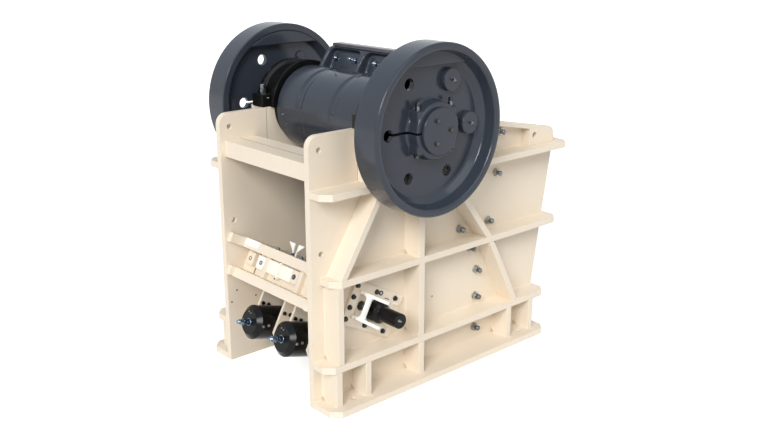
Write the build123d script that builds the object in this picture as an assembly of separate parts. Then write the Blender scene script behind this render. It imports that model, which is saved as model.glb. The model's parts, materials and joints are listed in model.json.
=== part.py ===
from build123d import *
import math
import os

os.makedirs("parts", exist_ok=True)

# Single-toggle jaw crusher. Millimetres, +Z up, +X towards the fixed jaw, flywheels at +Y and -Y.
# The origin is at the floor, in the middle of the overall length and width.

# Overall sizes
wheel_radius = 610.0
shaft_height = 2012.0
frame_half_width = 574.0
side_thick = 51.0
flange_thick = 51.0
rib_thick = 51.0
rod_overhang = 112.0
upper_flange_length = 2644.0
rear = rod_overhang / 2 - upper_flange_length / 2
shaft_x = rear + 821.5
inner_half = frame_half_width - side_thick

# Bearings
housing_inner_y = inner_half - 30.0
housing_outer_y = frame_half_width + 154.0
housing_radius = 330.0
housing_foot_height = 96.0
foot_inner_y = frame_half_width - 34.0
foot_outer_y = frame_half_width + 106.0
bearing_gap = 0.05

# Side plates
front_foot_x = rear + 2354.0
front_slope = 0.1632
ear_top = shaft_height + 7.0
ear_radius = 84.0
insert_half = housing_radius + 61.0
housing_foot_half = insert_half + 19.0
crown_slope = 0.197
brow_x = rear + 2625.0
brow_radius = 75.0
crown_end = (brow_x - brow_radius, ear_top - crown_slope * (brow_x - brow_radius - shaft_x - insert_half))
lifting_hole_radius = 25.0

# Outward flanges: underside, reach beyond the side plate, length, corner cut
base_flange = (0.0, 244.6, 2359.6, 69.5)
lower_flange = (316.3, 172.8, 2419.8, 66.3)
middle_flange = (949.3, 165.1, 2549.6, 66.3)
upper_flange = (shaft_height - 420.4, 169.8, upper_flange_length, 66.3)
middle_flange_start = 75.0

lug_hole_x = rear + 2277.0
lug_hole_z = upper_flange[0] + 135.0

# The bearing seats stand on the upper flanges
insert_floor = upper_flange[0] + flange_thick

# Toggle line: everything that guides the toggle leans by this angle. Along it, distances
# count from the rear edges of the toggle beam.
toggle_tilt = 28.0
line_x = rear + 100.0
line_z = 878.0
beam_gap = 171.0
bar_thick = 76.0
beam_height = beam_gap + 2 * bar_thick
beam_depth = 420.0
beam_end_plate = 40.0
web_set_back = 100.0
web_thick = 45.0
keeper_reach = 40.0
wedge_thin = 90.0
wedge_thick = 150.0
wedge_start_y = 45.0
wedge_end_y = frame_half_width - 2
seat_gap = 0.3
window_d = 507.0
block_depth = 130.0
seat_d = beam_depth + wedge_thick + block_depth
seat_radius = 36.0
toggle_length = 450.0
toggle_half = inner_half - 123.0
open_pivot_gap = 22.0

# Flywheels and shaft
wheel_inner_y = housing_outer_y + 66.5
wheel_outer_y = wheel_inner_y + 220.5
web_inner_y = wheel_inner_y + 50.5
web_outer_y = web_inner_y + 40.0
rim_radius_inner = 530.0
rim_draft = 25.0
hub_radius = 205.0
hub_cap_radius = 167.0
hub_cap_y = wheel_outer_y - 4.0
web_hole_circle = 380.0
web_hole_radius = 41.0
clamp_x = 160.0
clamp_half_height = 155.0
clamp_width = 100.0
shaft_radius = 120.0
pin_radius = 150.0
throw = 16.0

# Pitman
barrel_radius = 325.0
waist_radius = 313.0
waist_half = 150.0
shoulder_half = 207.0
jaw_half = inner_half - 53.0
barrel_half = jaw_half + 10.0
body_half = jaw_half - 30.0
head_half = jaw_half - 20.0
head_corner = 35.0
head_rib = 46.0
head_foot_x = shaft_x + 70.0
head_rear_x = shaft_x + 172.0
head_front_x = shaft_x + 225.0
head_top = shaft_height + 453.0
pocket_lean = 12.0
pocket_top = 68.0

# Chamber
fixed_top_x = rear + 2010.0
fixed_top_z = upper_flange[0] + 208.0
fixed_bottom_x = rear + 1800.0
fixed_bottom_z = 190.0
swing_top_x = rear + 1170.0
swing_top_z = shaft_height + 318.0
swing_bottom_x = rear + 1655.0
swing_bottom_z = 200.0
die_thick = 76.0
wall_thick = 80.0

# Tension rods
rod_slope = 0.30
rod_y = 213.0
rod_height_at_rear = 436.0
can_radius = 133.0
can_length = 300.0
can_overhang = 16.0
can_nose = 97.0
can_cone = 34.0
can_side_gap = 1.0
trunnion_radius = 45.0
rod_radius = 15.0


def save(part, name):
    export_step(part, os.path.join("parts", name + ".step"))


def front_edge(z):
    return front_foot_x + front_slope * z


def slab(points, y_low, y_high):
    """Solid between two planes across the machine, from an outline in x and z."""
    face = make_face(Polyline(*[(x, z) for x, z in points], close=True))
    body = extrude(face, amount=y_high - y_low)
    return Pos(0, y_high, 0) * Rot(90, 0, 0) * body


def plan(points, z_low, z_high):
    """Solid between two heights, from an outline in x and y."""
    face = make_face(Polyline(*points, close=True))
    return Pos(0, 0, z_low) * extrude(face, amount=z_high - z_low)


def rod_y_axis(x, z, radius, y_low, y_high):
    body = Cylinder(radius, y_high - y_low, rotation=(90, 0, 0))
    return Pos(x, (y_low + y_high) / 2, z) * body


def mirrored(part):
    return mirror(part, Plane.XZ)


def tilted(part):
    """Carry a piece drawn along +X from the beam's rear edges to the toggle line."""
    return Pos(line_x, 0, line_z) * Rot(0, toggle_tilt, 0) * part


def on_line(d, u=0.0):
    """Point in x and z at a distance along the toggle line and above it."""
    lean = math.radians(toggle_tilt)
    return (
        line_x + d * math.cos(lean) + u * math.sin(lean),
        line_z - d * math.sin(lean) + u * math.cos(lean),
    )


# Side plate profile
def side_outline():
    with BuildLine() as line:
        foot = Line((rear, 0), (front_edge(0), 0))
        shoulder_z = upper_flange[0] + flange_thick
        lean = Line(foot @ 1, (front_edge(shoulder_z), shoulder_z))
        up = Line(lean @ 1, (brow_x, crown_end[1] - brow_radius + 2))
        brow = RadiusArc(up @ 1, crown_end, -brow_radius)
        crown = Line(brow @ 1, (shaft_x + insert_half, ear_top))
        step = Line(crown @ 1, (shaft_x + insert_half, insert_floor))
        floor = Line(step @ 1, (shaft_x - insert_half, insert_floor))
        rise = Line(floor @ 1, (shaft_x - insert_half, ear_top))
        ear = Line(rise @ 1, (rear + ear_radius, ear_top))
        turn = RadiusArc(ear @ 1, (rear, ear_top - ear_radius), -ear_radius)
        back = Line(turn @ 1, (rear, 0))
    return make_face(line.line)


def cross(face, y_low, y_high):
    return Pos(0, y_high, 0) * Rot(90, 0, 0) * extrude(face, amount=y_high - y_low)


wedge_window = (190.0, 4 * side_thick, 170.0)
side = cross(side_outline(), inner_half, frame_half_width)
for hx, hz, radius in ((88, ear_top - 103, 21.0), (91, 1173, 21.0), (1192, 563, 10.0)):
    side -= rod_y_axis(rear + hx, hz, radius, inner_half - 5, frame_half_width + 5)
side -= rod_y_axis(lug_hole_x, lug_hole_z, lifting_hole_radius, inner_half - 5, frame_half_width + 5)
side -= tilted(Pos(window_d, frame_half_width, 0) * Box(*wedge_window))
save(mirrored(side), "right_side_plate")
save(side, "left_side_plate")

# Bearing seats let into the side plates, each with the half-round cradle of its housing
cradle = rod_y_axis(shaft_x, shaft_height, housing_radius - 20 + 0.3, 0, housing_outer_y + 100)
seat = Pos(shaft_x, (inner_half + housing_outer_y) / 2, (insert_floor + ear_top) / 2) * Box(
    2 * insert_half - 0.2, housing_outer_y - inner_half, ear_top - insert_floor
)
seat -= cradle
save(mirrored(seat), "right_bearing_seat")
save(seat, "left_bearing_seat")


# Outward flanges
def flange(spec, start=0.0):
    low, reach, length, cut = spec
    y_in = frame_half_width
    y_out = y_in + reach
    points = [
        (rear + start, y_in),
        (rear + start, y_out - cut),
        (rear + start + cut, y_out),
        (rear + length - cut, y_out),
        (rear + length, y_out - cut),
        (rear + length, y_in),
    ]
    return plan(points, low, low + flange_thick)


base = flange(base_flange)
base_hole_y = frame_half_width + 138.0
base_hole_x = (260.0, 2105.0)
base_hole_radius = 20.0
for hx in base_hole_x:
    base -= Pos(rear + hx, base_hole_y, 0) * Cylinder(base_hole_radius, 200)
save(mirrored(base), "right_base_flange")
save(base, "left_base_flange")
for spec, word, start in (
    (lower_flange, "lower_flange", 0.0),
    (middle_flange, "middle_flange", middle_flange_start),
    (upper_flange, "upper_flange", 0.0),
):
    piece = flange(spec, start)
    save(mirrored(piece), "right_" + word)
    save(piece, "left_" + word)


# Upright ribs between the flanges, with a cut corner at the plate for the weld
def upright(x_start, low_flange, high_flange):
    z_low = low_flange[0] + flange_thick
    z_high = high_flange[0]
    y_in = frame_half_width
    y_out = y_in + min(low_flange[1], high_flange[1])
    cope = 30.0
    outline = Polyline(
        (y_in + cope, z_low),
        (y_out, z_low),
        (y_out, z_high),
        (y_in + cope, z_high),
        (y_in, z_high - cope),
        (y_in, z_low + cope),
        close=True,
    )
    body = extrude(Plane.YZ * make_face(outline), amount=rib_thick)
    return Pos(rear + x_start, 0, 0) * body


lower_ribs = [upright(x, base_flange, lower_flange) for x in (78, 352, 892, 1911, 2190)]
upper_ribs = [
    upright(106, lower_flange, middle_flange),
    upright(896, lower_flange, middle_flange),
    upright(892, middle_flange, upper_flange),
]


def diagonal(x_low, z_low, x_high, z_high, reach):
    """Leaning rib: its left edge runs between two points at the faces of the flanges."""
    wide = rib_thick / abs((z_high - z_low) / math.hypot(x_high - x_low, z_high - z_low))
    points = [
        (rear + x_low, z_low),
        (rear + x_low + wide, z_low),
        (rear + x_high + wide, z_high),
        (rear + x_high, z_high),
    ]
    return slab(points, frame_half_width, frame_half_width + reach)


middle_top = middle_flange[0] + flange_thick
lower_top = lower_flange[0] + flange_thick
diagonals = [
    diagonal(128, middle_top, 500, upper_flange[0], middle_flange[1]),
    diagonal(1631, middle_top, 1165, upper_flange[0], middle_flange[1]),
    diagonal(1983, lower_top, 1666, middle_flange[0], middle_flange[1]),
]
save(mirrored(Compound(lower_ribs)), "right_lower_ribs")
save(Compound(lower_ribs), "left_lower_ribs")
save(mirrored(Compound(upper_ribs)), "right_upper_ribs")
save(Compound(upper_ribs), "left_upper_ribs")
save(mirrored(Compound(diagonals)), "right_diagonal_ribs")
save(Compound(diagonals), "left_diagonal_ribs")

# Lifting lug and top bar outside each side plate at the front
lug_thick = 80.0
lug_height = 36.0


def crown_z(x):
    return ear_top - crown_slope * (x - shaft_x - insert_half)


lug_points = [
    (rear + 1330, crown_z(rear + 1330)),
    (rear + 2480, crown_z(rear + 2480)),
    (rear + 2525, crown_z(rear + 2525) - 45),
    (rear + 2525, upper_flange[0] + flange_thick),
    (rear + 2215, upper_flange[0] + flange_thick),
    (rear + 2215, crown_z(rear + 2215) - lug_height),
    (rear + 1330, crown_z(rear + 1330) - lug_height),
]
lug = slab(lug_points, frame_half_width, frame_half_width + lug_thick)
lug -= rod_y_axis(
    lug_hole_x, lug_hole_z, lifting_hole_radius, frame_half_width - 5, frame_half_width + lug_thick + 5
)
save(mirrored(lug), "right_lifting_lug")
save(lug, "left_lifting_lug")

# Rear cross beam: two bars side by side between the side plates
beam_low = upper_flange[0] + 95.8
beam_high = beam_low + 126.6
beam_front = rear + 40.8
beam_seam = rear + 181.0
beam_end = rear + 326.0
outer_bar = Pos((beam_front + beam_seam) / 2, 0, (beam_low + beam_high) / 2) * Box(
    beam_seam - beam_front, 2 * inner_half, beam_high - beam_low
)
inner_bar = Pos((beam_seam + seat_gap + beam_end) / 2, 0, (beam_low + beam_high) / 2) * Box(
    beam_end - beam_seam - seat_gap, 2 * inner_half, beam_high - beam_low
)
save(Compound([outer_bar, inner_bar]), "rear_cross_beam")

# Toggle beam: a leaning channel between the side plates
edge = Pos(beam_depth / 2, 0, 0) * Box(beam_depth, 2 * inner_half, beam_height)
hollow = Pos(web_set_back / 2 - 5, 0, 0) * Box(web_set_back + 10, 3 * inner_half, beam_gap)
void_length = beam_depth - web_set_back - 2 * web_thick
void = Pos(web_set_back + web_thick + void_length / 2, 0, 0) * Box(
    void_length, 2 * (inner_half - beam_end_plate), beam_gap
)
channel = edge - hollow - void
rib_face = 18.0
for rib_y in (-rod_y, rod_y):
    channel += Pos((rib_face + web_set_back) / 2 + 1, rib_y, 0) * Box(
        web_set_back - rib_face + 2, 52, beam_gap + 2
    )
slot_y = inner_half - 151.0
channel -= Pos(web_set_back + web_thick / 2, slot_y, 0) * Box(web_thick + 20, 16, beam_gap)
pad_face = 60.0
for y_high, y_low, hole_y in ((465, 392, 425), (334, 245, 0), (182, 54, 0), (15, -105, 0), (-110, -182, -145)):
    pad = Pos((pad_face + web_set_back) / 2, (y_high + y_low) / 2, 19) * Box(
        web_set_back - pad_face + 2, y_high - y_low, 104
    )
    if hole_y:
        pad -= Pos(pad_face, hole_y, 19) * Cylinder(13, 60, rotation=(0, 90, 0))
    channel += pad
channel += Pos((pad_face - 12 + web_set_back) / 2, 42, 17) * Box(web_set_back - pad_face + 14, 16, 134)
save(tilted(channel), "toggle_beam")

# Keeper bars on the side plates behind the beam's two edges
keepers = []
for bar_u, start in ((beam_gap / 2 + bar_thick / 2, -140.0), (-beam_gap / 2 - bar_thick / 2, -42.0)):
    for side_y in (-1, 1):
        length = -start - 0.3
        bar = Pos(start + length / 2, side_y * (inner_half - keeper_reach / 2), bar_u) * Box(
            length, keeper_reach, bar_thick
        )
        keepers.append(tilted(bar))
save(Compound(keepers), "beam_keepers")


# Wedges between beam and block: thick outside, thin in the middle
def wedge_outline(y_in, y_out, gap):
    thin = wedge_thin + gap
    thick_end = wedge_thick + gap
    return [
        (beam_depth + gap, y_in),
        (beam_depth + gap, y_out),
        (beam_depth + thick_end, y_out),
        (beam_depth + thin, y_in),
    ]


wedge = plan(wedge_outline(wedge_start_y, wedge_end_y, seat_gap), -80, 80)
save(Compound([tilted(wedge), tilted(mirrored(wedge))]), "adjusting_wedges")

# Toggle block that the wedges push, and the toggle plate with its rolled ends
slope = (wedge_thick - wedge_thin) / (wedge_end_y - wedge_start_y)
block_back = beam_depth + wedge_thin + 2 * seat_gap - slope * wedge_start_y
block_half = inner_half - 93.0
block_points = [
    (seat_d - 20, -block_half),
    (seat_d - 20, block_half),
    (block_back + slope * block_half, block_half),
    (block_back, 0),
    (block_back + slope * block_half, -block_half),
]
block = plan(block_points, -85, 85)
block -= Pos(seat_d, 0, 0) * Cylinder(seat_radius + 0.3, 1200, rotation=(90, 0, 0))
save(tilted(block), "toggle_block")

toggle = Pos(toggle_length / 2, 0, 0) * Box(toggle_length, 2 * toggle_half, 56)
for end in (0, toggle_length):
    toggle += Pos(end, 0, 0) * Cylinder(seat_radius, 2 * toggle_half, rotation=(90, 0, 0))
save(tilted(Pos(seat_d, 0, 0) * toggle), "toggle_plate")

# Spring cans of the tension rods, hung between hangers below the toggle beam
rod_angle = math.degrees(math.atan(rod_slope))


def along_rod(x, y, part):
    """Carry a piece drawn along +X to the rod line, with its start at the given x."""
    z = rod_height_at_rear - rod_slope * (x - rear)
    return Pos(x, y, z) * Rot(0, rod_angle, 0) * part


can_profile = Polyline(
    (0, 0),
    (0, can_nose),
    (can_cone, can_radius),
    (can_length, can_radius),
    (can_length, 0),
    close=True,
)
can = revolve(make_face(can_profile), Axis.X, 360)
can += Pos(can_length * 0.62, 0, 0) * Cylinder(
    trunnion_radius, 2 * (can_radius + can_side_gap), rotation=(90, 0, 0)
)
cans = [along_rod(rear - can_overhang, side_y, can) for side_y in (rod_y, -rod_y)]
save(Compound(cans), "spring_cans")

tip_length = (rod_overhang - can_overhang) / math.cos(math.radians(rod_angle)) - seat_gap
rod_profile = Polyline(
    (0, 0),
    (0, rod_radius - 4),
    (4, rod_radius),
    (tip_length, rod_radius),
    (tip_length, 0),
    close=True,
)
tip = revolve(make_face(rod_profile), Axis.X, 360)
tips = [along_rod(rear - rod_overhang, side_y, tip) for side_y in (rod_y, -rod_y)]
rod_start = rear - can_overhang + (can_length + seat_gap) * math.cos(math.radians(rod_angle))
rod_length = 900.0
rod = Pos(rod_length / 2, 0, 0) * Cylinder(rod_radius, rod_length, rotation=(0, 90, 0))
rods = [along_rod(rod_start, side_y, rod) for side_y in (rod_y, -rod_y)]
save(Compound(tips + rods), "tension_rods")

hanger_thick = 22.0
hanger_d = 246.0
hanger_points = [
    (hanger_d, -beam_height / 2 - 0.2),
    (hanger_d, -455),
    (330, -540),
    (460, -540),
    (540, -430),
    (beam_depth, -beam_height / 2 - 0.2),
]
hangers = []
for offset in (-1, 1):
    for centre in (rod_y, -rod_y):
        y_mid = centre + offset * (can_radius + can_side_gap + hanger_thick / 2)
        hangers.append(tilted(slab(hanger_points, y_mid - hanger_thick / 2, y_mid + hanger_thick / 2)))
save(Compound(hangers), "rod_hangers")

# Wedge cylinders outside the side plates
cover_thick = 25.0
wedge_rod_radius = 38.0
cover_recess = 12.0
bracket_half = 105.0
cover = Box(520, cover_thick, 340)
recess = Pos(0, cover_thick / 2, 0) * Box(340, 2 * cover_recess, 2 * bracket_half - 38)
cover -= fillet(recess.edges().filter_by(Axis.Y), 25)
cover -= Cylinder(wedge_rod_radius + 2, 200, rotation=(90, 0, 0))
cover = Pos(window_d, frame_half_width + cover_thick / 2, 0) * cover

# An I-shaped plate stands on the cover behind the cylinder, and four tabs at its corners
bracket_thick = 25.0
bracket_reach = 265.0
bracket_bar = 22.0
bracket_web = 50.0
bracket_offset = 150.0
bracket_y = frame_half_width + cover_thick
web_y = bracket_y + 86.0
bracket = Pos(0, bracket_y + bracket_reach / 2, 0) * Box(bracket_thick, bracket_reach, 2 * bracket_half)
for y_low, y_high in ((bracket_y, web_y - bracket_web / 2), (web_y + bracket_web / 2, bracket_y + bracket_reach)):
    reach = y_high - y_low
    gap = Box(2 * bracket_thick, 2 * reach, 2 * (bracket_half - bracket_bar))
    gap = fillet(gap.edges().filter_by(Axis.X), 30)
    outward = -1 if y_low == bracket_y else 1
    middle = (y_low + y_high) / 2 + outward * reach / 2
    bracket -= Pos(0, middle, 0) * gap
cover += Pos(window_d - bracket_offset, 0, 0) * bracket
tab_reach = 30.0
for tab_d in (-193.0, 193.0):
    for tab_u in (-94.0, 94.0):
        cover += Pos(window_d + tab_d, bracket_y + tab_reach / 2 - 1, tab_u) * Box(18, tab_reach + 2, 22)
cover = tilted(cover)
save(Compound([cover, mirrored(cover)]), "wedge_covers")

cylinder_start = frame_half_width + cover_thick - cover_recess + seat_gap
cylinder_end = frame_half_width + 331.0
cylinder_profile = Polyline(
    (0, wedge_end_y + seat_gap),
    (wedge_rod_radius, wedge_end_y + seat_gap),
    (wedge_rod_radius, cylinder_start),
    (82, cylinder_start),
    (82, cylinder_start + 105),
    (57, cylinder_start + 125),
    (57, cylinder_end - 5),
    (52, cylinder_end),
    (0, cylinder_end),
    close=True,
)
wedge_cylinder = revolve(make_face(cylinder_profile), Axis.Y, 360)
wedge_cylinder = Pos(on_line(window_d)[0], 0, on_line(window_d)[1]) * wedge_cylinder
save(Compound([wedge_cylinder, mirrored(wedge_cylinder)]), "wedge_cylinders")

# Front wall that carries the fixed jaw
wall_back = 150.0


def fixed_face(z):
    share = (z - fixed_bottom_z) / (fixed_top_z - fixed_bottom_z)
    return fixed_bottom_x + share * (fixed_top_x - fixed_bottom_x)


def swing_face(z):
    share = (z - swing_bottom_z) / (swing_top_z - swing_bottom_z)
    return swing_bottom_x + share * (swing_top_x - swing_bottom_x)


def wall_front(z):
    return fixed_face(z) + die_thick + wall_thick


wall_low = 120.0
wall_high = fixed_top_z - 110.0
wall_points = [
    (fixed_face(wall_low) + die_thick + 0.5, wall_low),
    (wall_front(wall_low), wall_low),
    (wall_front(wall_high), wall_high),
    (fixed_face(wall_high) + die_thick + 0.5, wall_high),
]
wall = slab(wall_points, -inner_half, inner_half)
rib_height = 50.0
rib_set_back = 30.0
rib_step = (wall_high - rib_height - wall_low) / 4
for rib_z in [wall_low + k * rib_step for k in range(5)]:
    rib_points = [
        (wall_front(rib_z) - 10, rib_z),
        (front_edge(rib_z) - rib_set_back, rib_z),
        (front_edge(rib_z + rib_height) - rib_set_back, rib_z + rib_height),
        (wall_front(rib_z + rib_height) - 10, rib_z + rib_height),
    ]
    wall += slab(rib_points, -inner_half, inner_half)
upright_points = [
    (wall_front(wall_low) - 10, wall_low),
    (front_edge(wall_low) - 2 * rib_set_back, wall_low),
    (front_edge(wall_high) - 2 * rib_set_back, wall_high),
    (wall_front(wall_high) - 10, wall_high),
]
for rib_y in (-inner_half / 2, 0.0, inner_half / 2):
    wall += slab(upright_points, rib_y - 20, rib_y + 20)
save(wall, "front_wall")


# Corrugated jaw dies
def die(bottom, top, thick, half, teeth):
    """Ribbed jaw die lying in x-y, ribs running along +X, teeth towards +Z."""
    length = math.hypot(top[0] - bottom[0], top[1] - bottom[1])
    pitch = 2 * half / teeth
    points = [(-half, 0), (-half, thick * 0.62)]
    for k in range(teeth):
        start = -half + k * pitch
        points.append((start + pitch * 0.30, thick))
        points.append((start + pitch * 0.70, thick))
        points.append((start + pitch, thick * 0.62))
    points.append((half, 0))
    face = make_face(Polyline(*points, close=True))
    return extrude(Plane.YZ * face, amount=length)


def lay(part, bottom, top, flip):
    """Lay a die drawn along +X on the line from its bottom to its top."""
    lean = math.degrees(math.atan2(top[1] - bottom[1], top[0] - bottom[0]))
    turned = Rot(180, 0, 0) * part if flip else part
    return Pos(bottom[0], 0, bottom[1]) * Rot(0, -lean, 0) * turned


teeth = 11
fixed_low = (fixed_face(fixed_bottom_z) + die_thick, fixed_bottom_z)
fixed_high = (fixed_face(fixed_top_z) + die_thick, fixed_top_z)
fixed_die = lay(die(fixed_low, fixed_high, die_thick, jaw_half - 6, teeth), fixed_low, fixed_high, False)
save(fixed_die, "fixed_jaw_die")
swing_low = (swing_face(swing_bottom_z) - die_thick, swing_bottom_z)
swing_high = (swing_face(swing_top_z) - die_thick, swing_top_z)
swing_die = lay(die(swing_low, swing_high, die_thick, jaw_half - 6, teeth), swing_low, swing_high, True)
save(swing_die, "swing_jaw_die")

# Cheek plates on the chamber's sides
cheek_thick = 44.0


def cheek(z_low, z_high):
    points = [
        (swing_face(z_low) - 40, z_low),
        (fixed_face(z_low) - 6, z_low),
        (fixed_face(z_high) - 6, z_high),
        (swing_face(z_high) - 40, z_high),
    ]
    return slab(points, inner_half - cheek_thick, inner_half)


for word, z_low, z_high in (("lower", 230.0, 900.0), ("upper", 905.0, 1740.0)):
    piece = cheek(z_low, z_high)
    save(Compound([piece, mirrored(piece)]), word + "_cheek_plates")

# Clamp bar that holds the swing die against the pitman's head
swing_length = math.hypot(swing_high[0] - swing_low[0], swing_high[1] - swing_low[1])
up_x = (swing_high[0] - swing_low[0]) / swing_length
up_z = (swing_high[1] - swing_low[1]) / swing_length


def on_swing(above, ahead):
    """Point beyond the swing die's top end, and in front of its back."""
    return (swing_high[0] + above * up_x + ahead * up_z, swing_high[1] + above * up_z - ahead * up_x)


bar_seat = 0.5
bar_leg = 25.0
clamp_bar_points = [
    on_swing(2, bar_seat),
    on_swing(2, die_thick + 8),
    on_swing(60, die_thick + 8),
    (on_swing(160, 20)[0], head_top + bar_seat + bar_leg),
    (head_rear_x + 5, head_top + bar_seat + bar_leg),
    (head_rear_x + 5, head_top + bar_seat),
    (head_front_x + bar_seat, head_top + bar_seat),
]
clamp_half = head_half - 2 * head_corner
save(slab(clamp_bar_points, -clamp_half, clamp_half), "jaw_clamp_bar")

# Pitman: waisted barrel, front plate with ribs behind it, toggle seat, rod lug, and a head with
# two pockets for the nuts of the clamp bar. It hangs on the shaft's eccentric part, which is at
# the bottom of its circle.
pin_z = shaft_height - throw
barrel_profile = Polyline(
    (0, -barrel_half),
    (barrel_radius - 12, -barrel_half),
    (barrel_radius, -barrel_half + 12),
    (barrel_radius, -shoulder_half),
    (waist_radius, -waist_half),
    (waist_radius, waist_half),
    (barrel_radius, shoulder_half),
    (barrel_radius, barrel_half - 12),
    (barrel_radius - 12, barrel_half),
    (0, barrel_half),
    close=True,
)
shell = Pos(shaft_x, 0, pin_z) * revolve(make_face(barrel_profile), Axis.Y, 360)
rod_lug_x = rear + 1060.0
lug_back = rod_lug_x - 35.0
plate_thick = 110.0


def jaw_back(z):
    """Face of the pitman that the swing die lies on."""
    return swing_face(z) - die_thick - 0.5


body_points = [
    (shaft_x - 230, pin_z - 190),
    (rear + 900, 1500),
    (rear + 1000, 950),
    (rear + 1120, 560),
    on_line(seat_d + toggle_length, 95),
    on_line(seat_d + toggle_length, -95),
    (lug_back, 215),
    (lug_back, 65),
    (lug_back + 90, 65),
    (rear + 1300, 150),
    (jaw_back(200) - 60, 150),
    (jaw_back(200), 200),
    (jaw_back(swing_top_z), swing_top_z),
    (shaft_x + 200, pin_z + 180),
]
plate_points = [
    (jaw_back(560) - plate_thick, 560),
    (jaw_back(560), 560),
    (jaw_back(swing_top_z), swing_top_z),
    (jaw_back(swing_top_z) - plate_thick, swing_top_z),
]
foot_points = body_points[3:12] + [(jaw_back(560), 560)]
pitman = shell + slab(plate_points, -body_half, body_half) + slab(foot_points, -body_half, body_half)
rib_y_step = 2 * (body_half - 25) / 3
for k in range(4):
    rib_middle = -body_half + 25 + k * rib_y_step
    pitman += slab(body_points, rib_middle - 25, rib_middle + 25)

# Head above the barrel: a wall with three ribs behind it, joined along the top, so that the
# pockets between the ribs end on the barrel itself
head_points = [
    (shaft_x - 20, pin_z + 200),
    (head_foot_x, pin_z + barrel_radius - 12),
    (head_rear_x, head_top),
    (head_front_x, head_top),
    (jaw_back(swing_top_z), swing_top_z),
    (jaw_back(pin_z), pin_z),
]
head = slab(head_points, -head_half, head_half)
front_view = Polyline(
    (-head_half, pin_z),
    (head_half, pin_z),
    (head_half, head_top - head_corner),
    (head_half - head_corner, head_top),
    (head_corner - head_half, head_top),
    (-head_half, head_top - head_corner),
    close=True,
)
head &= Pos(shaft_x - 300, 0, 0) * extrude(Plane.YZ * make_face(front_view), amount=900)
lean = math.radians(pocket_lean)
pocket_plane = Plane(
    origin=(head_rear_x, 0, head_top - 92),
    x_dir=(0, 1, 0),
    z_dir=(-math.cos(lean), 0, math.sin(lean)),
)
pocket_height = 200.0
pocket_width = head_half - 1.5 * head_rib
for side_y in (-1, 1):
    middle_y = side_y * (head_rib + pocket_width) / 2
    opening = pocket_plane * Pos(middle_y, pocket_height / 2 - pocket_top, 0) * RectangleRounded(
        pocket_width, pocket_height, 45
    )
    head -= extrude(opening, amount=400)
pitman += head
pitman -= rod_y_axis(shaft_x, pin_z, pin_radius + bearing_gap, -600, 600)

# The toggle's seat in the pitman is open for the whole circle that the pitman moves round, whose
# middle is one throw above its place at rest
pivot_x, pivot_z = on_line(seat_d + toggle_length)
pitman -= Pos(pivot_x, 0, pivot_z - throw) * Cylinder(
    seat_radius + open_pivot_gap, 2 * toggle_half + 2 * open_pivot_gap, rotation=(90, 0, 0)
)
for side_y in (rod_y, -rod_y):
    pitman -= Pos(rod_lug_x, side_y, 118 - throw / 2) * Box(240, 2 * (rod_radius + open_pivot_gap), 140 + throw)
save(pitman, "pitman")

# Bearing housings with their rings and feet
housing_profile = [
    (0, housing_inner_y),
    (housing_radius + 18, housing_inner_y),
    (housing_radius + 18, housing_inner_y + 40),
    (housing_radius - 14, housing_inner_y + 55),
    (housing_radius - 14, housing_outer_y - 55),
    (housing_radius + 10, housing_outer_y - 40),
    (housing_radius + 10, housing_outer_y),
    (0, housing_outer_y),
]
cap = revolve(make_face(Polyline(*housing_profile, close=True)), Axis.Y, 360)
cap = Pos(shaft_x, 0, shaft_height) * cap
keep = Pos(shaft_x, frame_half_width, ear_top + 400) * Box(3 * housing_radius, 600, 800)
upper_half = cap & keep
bottom = rod_y_axis(
    shaft_x, shaft_height, housing_radius - 20, housing_inner_y, housing_outer_y
)
foot = Pos(shaft_x, (foot_inner_y + foot_outer_y) / 2, ear_top + housing_foot_height / 2) * Box(
    2 * housing_foot_half, foot_outer_y - foot_inner_y, housing_foot_height
)
housing = upper_half + bottom + foot
housing -= rod_y_axis(shaft_x, shaft_height, shaft_radius + bearing_gap, 0, housing_outer_y + 100)
save(mirrored(housing), "right_bearing_housing")
save(housing, "left_bearing_housing")

# Shaft, with the thicker eccentric part that carries the pitman
shaft = rod_y_axis(shaft_x, shaft_height, shaft_radius, -hub_cap_y + 28.3, hub_cap_y - 28.3)
shaft += rod_y_axis(shaft_x, pin_z, pin_radius, -barrel_half, barrel_half)
save(shaft, "eccentric_shaft")

# Flywheels: rim, dished web, hub, and a counterweight across the top
wheel_profile = [
    (shaft_radius, wheel_inner_y - 30),
    (hub_radius, wheel_inner_y - 30),
    (hub_radius, web_inner_y),
    (rim_radius_inner - rim_draft, web_inner_y),
    (rim_radius_inner + rim_draft, wheel_inner_y),
    (wheel_radius, wheel_inner_y),
    (wheel_radius, wheel_outer_y),
    (rim_radius_inner + rim_draft, wheel_outer_y),
    (rim_radius_inner, web_outer_y + 45),
    (rim_radius_inner - 45, web_outer_y),
    (hub_radius, web_outer_y),
    (hub_radius, hub_cap_y - 28),
    (shaft_radius, hub_cap_y - 28),
]
wheel = revolve(make_face(Polyline(*wheel_profile, close=True)), Axis.Y, 360)
weight_chord = 445.0
weight = Pos(0, (web_inner_y + web_outer_y) / 2, 0) * Cylinder(rim_radius_inner + 3, 150, rotation=(90, 0, 0))
weight &= Pos(0, (web_inner_y + web_outer_y) / 2, weight_chord + 200) * Box(1200, 400, 400)
wheel += weight
for step in range(6):
    turn = math.radians(60 * step)
    wheel -= rod_y_axis(
        web_hole_circle * math.cos(turn),
        web_hole_circle * math.sin(turn),
        web_hole_radius,
        web_inner_y - 60,
        web_outer_y + 60,
    )
clamp_outer_y = web_outer_y + 90.0
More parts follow.
